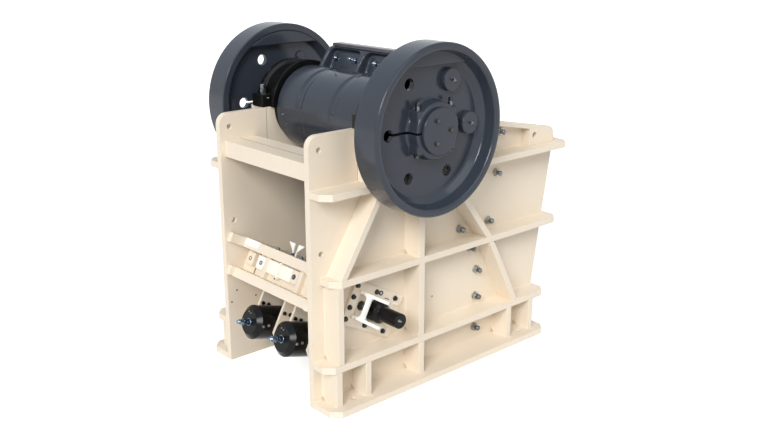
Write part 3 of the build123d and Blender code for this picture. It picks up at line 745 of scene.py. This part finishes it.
def socket_head(bm, origin, axis, size):
    """Cap screw with its socket."""
    r = size * 0.75
    table = [(0.0, r), (size * 0.9, r), (size, r * 0.93), (size, size * 0.45),
             (size * 0.45, size * 0.42)]
    rings(bm, origin, axis, table, 24)


def nipple(bm, origin, axis, scale):
    """Grease nipple: hexagon, cone and ball."""
    hex_head(bm, origin, axis, 0.014 * scale, 0.008 * scale)
    table = ((0.008, 0.0045), (0.013, 0.003), (0.016, 0.0026), (0.019, 0.0038),
             (0.022, 0.0036), (0.024, 0.0018))
    rings(bm, origin, axis, [(height * scale, radius * scale) for height, radius in table], 16)


def bead(bm, start, end, first, second, size):
    """Weld bead in the corner between two faces, laid in ripples from one point to another."""
    run = end - start
    count = max(2, int(run.length / 0.009))
    inset = (first + second) * -0.0008
    rows = []
    for k in range(count + 1):
        place = start + run * k / count
        swell = size * (1.0 + 0.10 * math.sin(k * 1.9) + 0.05 * math.sin(k * 0.37))
        a, b = first * swell, second * swell
        section = (inset, a + inset, a * 0.66 + b * 0.38, a * 0.38 + b * 0.66, b + inset)
        rows.append([bm.verts.new(place + p) for p in section])
    skin(bm, rows)
    close_ends(bm, rows)


# Fasteners on the frame

PLATE_BOLTS = ((1892, 1462), (1814, 1074), (1478, 1068), (1687, 676), (1684, 445), (1683, 166),
               (1917, 1797), (1607, 880))
for side, word in ((-1, "right"), (1, "left")):
    bm = bmesh.new()
    ends = bmesh.new()
    for k, (x, z) in enumerate(PLATE_BOLTS):
        place = at(x, side * PLATE_FACE, z)
        bolted(bm, place, SIDE * side, 0.036, 0.85, 0.4 * k, ends)
    socket_head(ends, at(1910, side * PLATE_FACE, 863), SIDE * side, 0.010)
    finish_piece(bm, word + "_plate_bolts", "frame", BOLT)
    finish_piece(ends, word + "_plate_bolt_ends", "frame", STUD)

# pairs of nuts on the studs of the bearing housings, before and behind the shaft
STUD_X, STUD_Y, STUD_Z = 350, 610, 2115
bm = bmesh.new()
for side in (-1, 1):
    for dx in (-STUD_X, STUD_X):
        place = at(SHAFT_AT + dx, side * STUD_Y, STUD_Z)
        washer(bm, place, UP, 0.031, 0.004)
        for rise, turn in ((0.004, 0.2), (0.041, 0.45)):
            hex_head(bm, place + UP * rise, UP, 0.046, 0.036, turn)
finish_piece(bm, "housing_studs", "frame", STUD)

# bolts round the wedge covers, with a collar and a short bar above the I-shaped plate; no bolt
# stands further to the rear than COVER_START
COVER_BOLTS = ((272, 135), (480, 133), (688, 131), (268, 46), (268, -36), (272, -126),
               (478, -130), (684, -133))
COVER_START = 270
bm = bmesh.new()
for side in (-1, 1):
    out = SIDE * side
    for d, u in COVER_BOLTS:
        place = on_line(max(d, COVER_START), side * COVER_FACE, u)
        bolt_head(bm, place, out, 0.030, d * 0.01)
    collar(bm, on_line(526, side * COVER_FACE, 135), out, 0.019, 0.011, 0.004)
    bar = on_line(606, side * (COVER_FACE + 0.6), 108)
    block(bm, bar, (ALONG, ABOVE, SIDE), (0.048, 0.006, 0.002))
finish_piece(bm, "cover_bolts", "frame", DARK_BOLT)

# clamping nut of the wedges in the cover's recess, behind the I-shaped plate
bm = bmesh.new()
for side in (-1, 1):
    place, out = on_line(384, side * 587, 0), SIDE * side
    washer(bm, place, out, 0.036, 0.006)
    hex_head(bm, place + out * 0.006, out, 0.056, 0.042, 0.3)
    thread(bm, place + out * 0.040, out, 0.018, 0.030, 0.004)
finish_piece(bm, "wedge_nuts", "frame", OLIVE_BOLT)


# Middle of the pads on the toggle beam's web in millimetres, and their size in metres
PAD_D, PAD_U = 80.5, 19
PAD_THICK, PAD_HEIGHT = 0.041, 0.104


def pad(bm, y_high, y_low):
    """Pad on the toggle beam's web, given by its two ends in millimetres."""
    centre = on_line(PAD_D, (y_high + y_low) / 2, PAD_U)
    block(bm, centre, LEANING, (PAD_THICK, (y_high - y_low) / 1000, PAD_HEIGHT), 0.003, 2)


# toggle beam: two bars on a web, with ribs and two of the pads in its own colour
BEAM_WIDTH = 1.046
BAR_U = 123.5
bm = bmesh.new()
for u in (-BAR_U, BAR_U):
    block(bm, on_line(210, 0, u), LEANING, (0.420, BEAM_WIDTH, 0.076), 0.003, 2)
block(bm, on_line(260, 0, 0), LEANING, (0.320, BEAM_WIDTH, 0.172), 0.002, 1)
for y in ROD_Y:
    block(bm, on_line(PAD_D, y, 0), LEANING, (PAD_THICK, 0.045, 0.1725), 0.002, 2)
pad(bm, 473, 380)
pad(bm, -114, -187)
piece = finish_piece(bm, "toggle_beam_welded", "frame", CREAM, weighted=True)
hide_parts("toggle_beam")

# a pad painted white, and a white strip on the rear face of the upper bar: painted light, the
# strip's slanted end a painted shadow edge
bm = bmesh.new()
pad(bm, 334, 243)
lit_strip = [on_line(-0.3, y, u) for y, u in ((521, 162.3), (290, 162.3), (314, 108), (521, 108))]
plate(bm, lit_strip, ALONG * 0.003)
finish_piece(bm, "beam_pads_painted_light", "frame", LIT_WHITE)

# an ivory rib between two ivory pads, their ivory painted light on the cream beam
bm = bmesh.new()
block(bm, on_line(74, 42, 17), LEANING, (0.053, 0.014, 0.134), 0.003, 2)
pad(bm, 192, 57)
pad(bm, 31, -107)
finish_piece(bm, "beam_plates_painted_light", "frame", LIT_IVORY)

# a thin dark sheet beside the first pad: painted shade over a slit
bm = bmesh.new()
block(bm, on_line(99.4, 367, 0), LEANING, (0.002, 0.014, 0.170))
finish_piece(bm, "beam_slit_shade", "frame", SEAM_AND_SHADE)

# wedge covers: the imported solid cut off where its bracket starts, and the feet of the bracket
BRACKET_START = 0.6006
bm = copy_of("wedge_covers")
for side in (-1, 1):
    cut_off(bm, (0, side * BRACKET_START, 0), (0, side, 0))
fill_open(bm)
for side in (-1, 1):
    for d, u in ((314, -94), (314, 94), (700, -94), (700, 94)):
        block(bm, on_line(d, side * 615, u), LEANING, (0.018, 0.034, 0.022), 0.003, 2)
piece = finish_piece(bm, "wedge_cover_plates", "frame", CREAM, weighted=True)
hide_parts("wedge_covers")


# The I-shaped plate on each wedge cover, in millimetres: ends of its flanges across the machine,
# sides of its web, inner and outer faces of its flanges, radius of its inner corners, its middle
# along the toggle line and its thickness
END_NEAR, END_FAR = 599.3, 864.6
WEB_NEAR, WEB_FAR = 659.3, 693.0
FLANGE_IN, FLANGE_OUT = 82.2, 105.8
CORNER = 30
I_MIDDLE, I_THICK = 357, 26.6


def quarter(y, u, first):
    """Points of an inner corner, turned backwards from its first angle in degrees."""
    turns = [math.radians(first - 90 * k / 5) for k in range(6)]
    return [(y + CORNER * math.cos(a), u + CORNER * math.sin(a)) for a in turns]


near, far, high = WEB_NEAR - CORNER, WEB_FAR + CORNER, FLANGE_IN - CORNER
outline = [(END_NEAR, -FLANGE_OUT), (END_FAR, -FLANGE_OUT), (END_FAR, -FLANGE_IN)]
outline += quarter(far, -high, 270) + quarter(far, high, 180)
outline += [(END_FAR, FLANGE_IN), (END_FAR, FLANGE_OUT), (END_NEAR, FLANGE_OUT)]
outline += [(END_NEAR, FLANGE_IN)] + quarter(near, high, 90) + quarter(near, -high, 0)
outline += [(END_NEAR, -FLANGE_IN)]
# white on the I-shaped plates is painted light and highlight
bm = bmesh.new()
for side in (-1, 1):
    rear = [on_line(I_MIDDLE - I_THICK / 2, side * y, u) for y, u in outline]
    plate(bm, rear, ALONG * (I_THICK / 1000))
finish_piece(bm, "bracket_plates_painted_light", "frame", LIT_WHITE)

# washers and small screws on the toggle beam's pads and rib
bm = bmesh.new()
for y, u, outer, inner, thick in ((280, 18, 0.017, 0.009, 0.003), (-145, 19, 0.020, 0.0135, 0.003),
                                  (425, 19, 0.017, 0.0125, 0.002)):
    collar(bm, on_line(60, y, u), -ALONG, outer, inner, thick)
for u in (84, -50):
    bolt_head(bm, on_line(47.5, 42, u), -ALONG, 0.010, 0.3)
finish_piece(bm, "pad_washers", "frame", DARK_BOLT)

# a pin in the second washer, and studs on the upper bar
bm = bmesh.new()
pin = [(0.0, 0.012), (0.012, 0.012), (0.014, 0.010)]
rings(bm, on_line(64, -145, 19), -ALONG, pin, 24)
for y in (194, 8, -107):
    bolted(bm, on_line(100, y, 161.5), ABOVE, 0.016, 0.25, y * 0.01)
finish_piece(bm, "beam_studs", "frame", BLUED)

# two tapered lugs on the beam's upper bar, painted white as lit patches
bm = bmesh.new()
for outline in (((92, 256), (17, 256), (5, 189), (5, 161), (13, 161), (13, 189)),
                ((-30, 256), (-100, 256), (-36, 195), (-36, 161), (-28, 161), (-28, 195))):
    prism(bm, [on_line(95, y, u) for y, u in outline], [on_line(105, y, u) for y, u in outline])
finish_piece(bm, "beam_lugs_painted_light", "frame", LIT_WHITE)

# nuts on the tension rods, with the rods' threaded tips
ROD_NUTS = ((0.0053, 0.046, 0.028, 0.3), (0.0335, 0.046, 0.024, 0.75), (0.0577, 0.041, 0.034, 0.1))
bm = bmesh.new()
for y in ROD_Y:
    start = rod_end(y)
    washer(bm, start + ROD_AXIS * 0.0003, ROD_AXIS, 0.030, 0.005)
    for reach, flats, height, turn in ROD_NUTS:
        hex_head(bm, start + ROD_AXIS * reach, ROD_AXIS, flats, height, turn)
    thread(bm, start + ROD_AXIS * 0.0907, ROD_AXIS, 0.0158, 0.022, 0.0040)
finish_piece(bm, "rod_nuts", "frame", BLUED)

# cap screws and bolt heads on the spring cans, and grease nipples on wedge cylinders and housings
bm = bmesh.new()
for y in ROD_Y:
    start = rod_end(y)
    for across, above in ((0.020, 0.079), (-0.006, 0.073)):
        socket_head(bm, start + SIDE * across + ROD_UP * above, ROD_AXIS, 0.007)
    for along, above in ((0.044, 0.004), (0.092, 0.012)):
        place = start - ROD_AXIS * along + ROD_UP * above - SIDE * 0.1325
        bolt_head(bm, place, -SIDE, 0.017, along * 9)
for side in (-1, 1):
    nipple(bm, on_line(478, side * 905, 2), SIDE * side, 1.3)
    nipple(bm, at(457, side * 540, 2091), -SIDE * side, 1.0)
finish_piece(bm, "can_fittings", "frame", BOLT)

# bolts through the plates of the cans' hangers, and dark spots on the left plate's inner face
HANGER_Y, HANGER_HALF = 145, 11
spot = [(0.0, 0.007), (0.0008, 0.007)]
bm = bmesh.new()
for y in ROD_Y:
    for offset in (-HANGER_Y, HANGER_Y):
        face = y + offset - HANGER_HALF
        for x, z in ((210, 497), (262, 470)):
            bolt_head(bm, at(x, face, z), -SIDE, 0.024, x)
for x, z in ((84, 588), (262, 498), (32, 499)):
    rings(bm, at(x, PLATE_FACE - PLATE_THICK, z), -SIDE, spot, 20)
finish_piece(bm, "hanger_bolts", "frame", DARK_BOLT)

# seams where the bearing seats are let into the side plates, and where the cross beam's bars meet
SEAT_HALF, SEAT_FOOT, SEAT_TOP = 391, 1643, 2018
bm = bmesh.new()
for side in (-1, 1):
    for dx in (-SEAT_HALF, SEAT_HALF):
        for y in (PLATE_FACE + 0.3, PLATE_FACE - PLATE_THICK - 0.3):
            seam = at(SHAFT_AT + dx, side * y, (SEAT_FOOT + SEAT_TOP) / 2)
            block(bm, seam, UPRIGHT, (0.0032, 0.374, 0.0016), 0.0005, 1)
block(bm, at(181.2, 0, 1814.2), LEVEL, (0.0030, 1.04, 0.0014), 0.0004, 1)
finish_piece(bm, "plate_seams", "frame", SEAM_AND_SHADE)

# weld beads along the flanges (foot, start and end) and the ribs (rear face, foot, top and reach),
# which stop short of the corners
LOWER, MIDDLE, UPPER = 316.3, 949.3, 1591.6
FLANGES = ((0.0, 0, 2359.6), (LOWER, 0, 2419.8), (MIDDLE, 75, 2549.6), (UPPER, 0, 2640.0))
RIBS = [(x, PLATE_THICK, LOWER, 172.8) for x in (78, 352, 892, 1911, 2190)]
RIBS += [(x, LOWER + PLATE_THICK, MIDDLE, 165.1) for x in (106, 896)]
RIBS += [(892, MIDDLE + PLATE_THICK, UPPER, 165.1)]
FLANGE_GAP, RIB_GAP, REACH_GAP = 4, 31, 32
FLANGE_BEAD, RIB_BEAD = 0.006, 0.005
bm = bmesh.new()
for side in (-1, 1):
    out, face = SIDE * side, side * PLATE_FACE
    for low, start, end in FLANGES:
        start, end, top = start + FLANGE_GAP, end - FLANGE_GAP, low + PLATE_THICK
        bead(bm, at(start, face, top), at(end, face, top), out, UP, FLANGE_BEAD)
        if low:
            bead(bm, at(start, face, low), at(end, face, low), out, -UP, FLANGE_BEAD)
    for x, z_low, z_high, reach in RIBS:
        for edge, way in ((x, BACK), (x + PLATE_THICK, -BACK)):
            foot, top = at(edge, face, z_low + RIB_GAP), at(edge, face, z_high - RIB_GAP)
            bead(bm, foot, top, out, way, RIB_BEAD)
            for z, up in ((z_low, UP), (z_high, -UP)):
                inner = at(edge, side * (PLATE_FACE + REACH_GAP), z)
                outer = at(edge, side * (PLATE_FACE - 2 + reach), z)
                bead(bm, inner, outer, way, up, RIB_BEAD)
finish_piece(bm, "weld_beads", "frame", CREAM, 60.0)

# Fasteners on the flywheels and the hub caps

# circle of the hub cap's bolts, and the outer faces of the caps and of the round plugs
CAP_CIRCLE, CAP_FACE, PLUG_FACE = 0.092, 1.011, 0.927
bm = bmesh.new()
dark = bmesh.new()
for side in (-1, 1):
    out = SIDE * side
    # three bolts in the hub cap
    for angle in (0, 120, 240):
        a = math.radians(angle)
        bolt_head(dark, off_shaft(CAP_CIRCLE, a, side * CAP_FACE), out, 0.028, a)
    # the nut on each round plug
    for angle in (0, 60):
        a = math.radians(angle)
        place = off_shaft(WEB_CIRCLE, a, side * PLUG_FACE)
        washer(bm, place, out, 0.017, 0.003)
        hex_head(bm, place + out * 0.003, out, 0.024, 0.012, a + 0.3)
        thread(bm, place + out * 0.012, out, 0.006, 0.018, 0.0018)
    # the clamp bolts of the split hub
    for x in (-0.160, 0.160):
        top = Vector((SHAFT_X + x, side * CLAMP_Y, SHAFT_Z + LUG_HALF))
        washer(bm, top, UP, 0.019, 0.004)
        hex_head(bm, top + UP * 0.004, UP, 0.031, 0.026, 0.1)
        thread(bm, top + UP * 0.029, UP, 0.0158, 0.028, 0.003)
        foot = Vector((SHAFT_X + x, side * CLAMP_Y, SHAFT_Z - LUG_HALF))
        bolt_head(dark, foot, -UP, 0.038, 0.1)
finish_piece(bm, "wheel_bolts", "crankshaft", STUD)
finish_piece(dark, "wheel_bolt_heads", "crankshaft", OLIVE_BOLT)

# Fasteners and shims on the pitman

# studs of the clamp bar in the head's pockets, one of them long, and grease nipples on the barrel
LONG_STUD = 117
bm = bmesh.new()
for y in (-351, -117, 117, 351):
    place = POCKET + SIDE * y / 1000 - POCKET_DOWN * 0.030 - POCKET_OUT * 0.002
    bolted(bm, place, POCKET_OUT, 0.022, 3.0 if y == LONG_STUD else 0.9, 0.2)
for y, angle, radius in ((10, 109, BARREL_MIDDLE), (379, -177.3, BARREL_END),
                         (344, -165.4, BARREL_END)):
    a = math.radians(angle)
    away = Vector((math.cos(a), 0, math.sin(a)))
    nipple(bm, Vector((SHAFT_X, y / 1000, PIN_Z)) + away * (radius - 0.001), away, 0.9)
finish_piece(bm, "head_bolts", "pitman", BLUED)

# shim pack under the clamp bar: three painted plates, each a step back from the one above it, and
# red edges between them
SHIM_X, SHIM_STEP = -0.2680, 0.0015
bm = bmesh.new()
red = bmesh.new()
for k, z in enumerate((2.4700, 2.4782, 2.4864)):
    centre = Vector((SHIM_X - SHIM_STEP * (2 - k), 0, z))
    block(bm, centre, CROSSWISE, (0.760, 0.012, 0.0066), 0.001, 2)
    if k:
        block(red, Vector((SHIM_X, 0, z - 0.0041)), CROSSWISE, (0.757, 0.011, 0.0015))
finish_piece(bm, "clamp_shims", "pitman", PACK)
finish_piece(red, "clamp_shim_edges", "pitman", SHIM)


# Floor, light and camera

def background_share(tree):
    """1 for rays that see the background: from the camera, off a gloss or through glass."""
    path = tree.nodes.new("ShaderNodeLightPath")
    share = path.outputs["Is Camera Ray"]
    for name in ("Is Glossy Ray", "Is Transmission Ray"):
        share = maths(tree, "MAXIMUM", share, path.outputs[name])
    return share


# a pale floor that looks as bright as the background, and takes the machine's shadow
FLOOR_GLOW = 0.62
bm = bmesh.new()
bmesh.ops.create_grid(bm, x_segments=2, y_segments=2, size=90.0)
floor = new_object(bm, "floor")
floor.location = (0, 0, SOLID_BOX[0][2] - 0.0005)
mat, tree, shader = new_material("floor_sheet")
shader.inputs["Base Color"].default_value = (0.80, 0.80, 0.80, 1)
shader.inputs["Roughness"].default_value = 0.9
shader.inputs["Specular IOR Level"].default_value = 0.1
glow = tree.nodes.new("ShaderNodeEmission")
glow.inputs["Color"].default_value = (1, 1, 1, 1)
strength = maths(tree, "MULTIPLY", background_share(tree), FLOOR_GLOW)
tree.links.new(strength, glow.inputs["Strength"])
total = tree.nodes.new("ShaderNodeAddShader")
tree.links.new(shader.outputs[0], total.inputs[0])
tree.links.new(glow.outputs[0], total.inputs[1])
tree.links.new(total.outputs[0], tree.nodes["Material Output"].inputs["Surface"])
floor.data.materials.append(mat)

# a white background, bluer towards the zenith, that gives a softer light than it shows
WORLD_LIGHT = 0.335
ZENITH = (0.86, 1.00, 1.20)
world = bpy.data.worlds.new("studio")
scene.world = world
world.use_nodes = True
tree = world.node_tree
tree.nodes.clear()
output = tree.nodes.new("ShaderNodeOutputWorld")
soft = tree.nodes.new("ShaderNodeBackground")
soft.inputs["Color"].default_value = (1, 1, 1, 1)
soft.inputs["Strength"].default_value = WORLD_LIGHT
white = tree.nodes.new("ShaderNodeBackground")
white.inputs["Strength"].default_value = 1.0
split = tree.nodes.new("ShaderNodeSeparateXYZ")
tree.links.new(tree.nodes.new("ShaderNodeTexCoord").outputs["Generated"], split.inputs[0])
height = spread(tree, split.outputs["Z"], 0.10, 0.95, 0.0, 1.0)
sky = blend_colour(tree, height, (1.0, 1.0, 1.0), ZENITH)
tree.links.new(sky, white.inputs["Color"])
choice = tree.nodes.new("ShaderNodeMixShader")
tree.links.new(background_share(tree), choice.inputs[0])
tree.links.new(soft.outputs[0], choice.inputs[1])
tree.links.new(white.outputs[0], choice.inputs[2])
tree.links.new(choice.outputs[0], output.inputs["Surface"])


def soft_sun(name, towards, strength, angle):
    """Broad lamp that shines from the given direction, its angle in degrees."""
    light = bpy.data.lights.new(name, "SUN")
    light.energy = strength
    light.angle = math.radians(angle)
    obj = bpy.data.objects.new(name, light)
    obj.rotation_euler = Vector(towards).to_track_quat("Z", "Y").to_euler()
    obj.location = Vector(towards) * 8
    scene.collection.objects.link(obj)


soft_sun("key", (-0.735, -0.44, 0.515), 2.52, 24.0)
soft_sun("fill", (-0.05, -0.68, 0.73), 0.78, 45.0)

# the photograph's camera: it looks to the front and the left, and down
camera = bpy.data.cameras.new("camera")
camera.lens = 43.67
camera.sensor_width = 36.0
camera.clip_end = 400.0
camera_obj = bpy.data.objects.new("camera", camera)
camera_obj.location = (-4.9470, -5.4437, 3.3218)
azimuth, drop = math.radians(41.85), math.radians(16.91)
forward = Vector((math.sin(azimuth) * math.cos(drop), math.cos(azimuth) * math.cos(drop),
                  -math.sin(drop)))
camera_obj.rotation_euler = forward.to_track_quat("-Z", "Y").to_euler()
scene.collection.objects.link(camera_obj)
scene.camera = camera_obj
